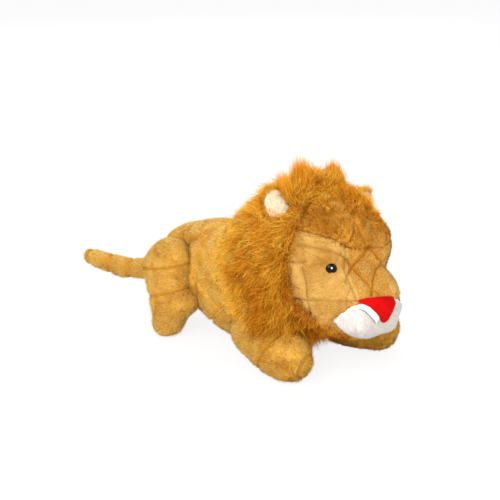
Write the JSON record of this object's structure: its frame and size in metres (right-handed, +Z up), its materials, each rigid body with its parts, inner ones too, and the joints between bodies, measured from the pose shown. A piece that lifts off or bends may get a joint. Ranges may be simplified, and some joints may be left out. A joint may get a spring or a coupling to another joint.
{
  "type": "plush lion dog toy",
  "caption": "Stuffed plush lion dog toy lying on its paws, with a shaggy mane, red felt nose, white muzzle, bead eyes and a thin tail.",
  "frame": {"origin": "under the middle of the toy's bounding box, level with the soles of its paws", "axes": "+X towards the nose along the toy's length, +Y to the lion's left, +Z up"},
  "size_m": [0.4204, 0.1652, 0.2077],
  "materials": {
    "gold_plush": "matt short pile",
    "pale_plush": "matt short pile",
    "dark_plush": "matt short pile",
    "mane_fur": "matt long pile",
    "white_plush": "matt short pile",
    "cream_plush": "matt short pile",
    "red_felt": "satin short pile",
    "ribbon": "satin weave",
    "fibre_fill": "matt loose fibre",
    "pouch_cloth": "matt nonwoven",
    "eye_plastic": "polished",
    "washer_plastic": "moulded",
    "squeaker_plastic": "moulded"
  },
  "bodies": {
    "torso": {"torso_skin": "gold_plush", "torso_stuffing_upper": "fibre_fill", "torso_stuffing_lower": "fibre_fill", "squeaker_pouch": "pouch_cloth", "squeaker_bulb": "squeaker_plastic", "squeaker_reed": "squeaker_plastic", "mane_cape": "mane_fur"},
    "head": {"head_skin": "pale_plush", "forehead_panel": "dark_plush", "muzzle_panel": "white_plush", "head_stuffing": "fibre_fill", "nose_patch": "red_felt", "nose_label": "ribbon", "mane_ruff": "mane_fur", "eye_right": "eye_plastic", "eye_washer_right": "washer_plastic", "eye_left": "eye_plastic", "eye_washer_left": "washer_plastic"},
    "ear_right": {"ear_back_right": "gold_plush", "ear_lining_right": "cream_plush"},
    "ear_left": {"ear_back_left": "gold_plush", "ear_lining_left": "cream_plush"},
    "front_leg_right": {"front_leg_right_skin": "gold_plush", "front_leg_right_stuffing": "fibre_fill"},
    "front_leg_left": {"front_leg_left_skin": "gold_plush", "front_leg_left_stuffing": "fibre_fill"},
    "hind_leg_right": {"hind_leg_right_skin": "gold_plush", "hind_leg_right_stuffing": "fibre_fill"},
    "hind_leg_left": {"hind_leg_left_skin": "gold_plush", "hind_leg_left_stuffing": "fibre_fill"},
    "tail": {"tail_skin": "gold_plush", "tail_stuffing": "fibre_fill"}
  },
  "joints": [
    {"name": "neck_nod", "type": "hinge", "parent": "torso", "child": "head", "pos_m": [0.09696, -0.00364, 0.094], "axis": [0.0682, 0.9758, -0.2079], "range_deg": [-10, 10], "stiffness_Nm_per_rad": 4, "deforming": ["mane_cape", "mane_ruff"]},
    {"name": "ear_right_fold", "type": "hinge", "parent": "head", "child": "ear_right", "pos_m": [0.11094, -0.03581, 0.15202], "axis": [0.0521, 0.7455, 0.6644], "range_deg": [-12, 12], "stiffness_Nm_per_rad": 0.1, "deforming": ["mane_cape", "mane_ruff"]},
    {"name": "ear_left_fold", "type": "hinge", "parent": "head", "child": "ear_left", "pos_m": [0.11674, 0.04712, 0.13435], "axis": [0.0288, 0.4115, -0.911], "range_deg": [-12, 12], "stiffness_Nm_per_rad": 0.1, "deforming": ["mane_cape", "mane_ruff"]},
    {"name": "shoulder_right_swing", "type": "hinge", "parent": "torso", "child": "front_leg_right", "pos_m": [0.08196, -0.04564, 0.035], "axis": [0, 1, 0], "range_deg": [-12, 12], "stiffness_Nm_per_rad": 3, "deforming": ["mane_cape", "mane_ruff"]},
    {"name": "shoulder_left_swing", "type": "hinge", "parent": "torso", "child": "front_leg_left", "pos_m": [0.08196, 0.03836, 0.035], "axis": [0, 1, 0], "range_deg": [-12, 12], "stiffness_Nm_per_rad": 3, "deforming": ["mane_cape", "mane_ruff"]},
    {"name": "hip_right_swing", "type": "hinge", "parent": "torso", "child": "hind_leg_right", "pos_m": [-0.04604, -0.04364, 0.062], "axis": [0, 1, 0], "range_deg": [-12, 12], "stiffness_Nm_per_rad": 3, "deforming": ["mane_cape", "mane_ruff"]},
    {"name": "hip_left_swing", "type": "hinge", "parent": "torso", "child": "hind_leg_left", "pos_m": [-0.04604, 0.03636, 0.062], "axis": [0, 1, 0], "range_deg": [-12, 12], "stiffness_Nm_per_rad": 3, "deforming": ["mane_cape", "mane_ruff"]},
    {"name": "tail_swing", "type": "hinge", "parent": "torso", "child": "tail", "pos_m": [-0.08504, -0.00364, 0.051], "axis": [0, 0, 1], "range_deg": [-20, 20], "stiffness_Nm_per_rad": 0.2}
  ]
}
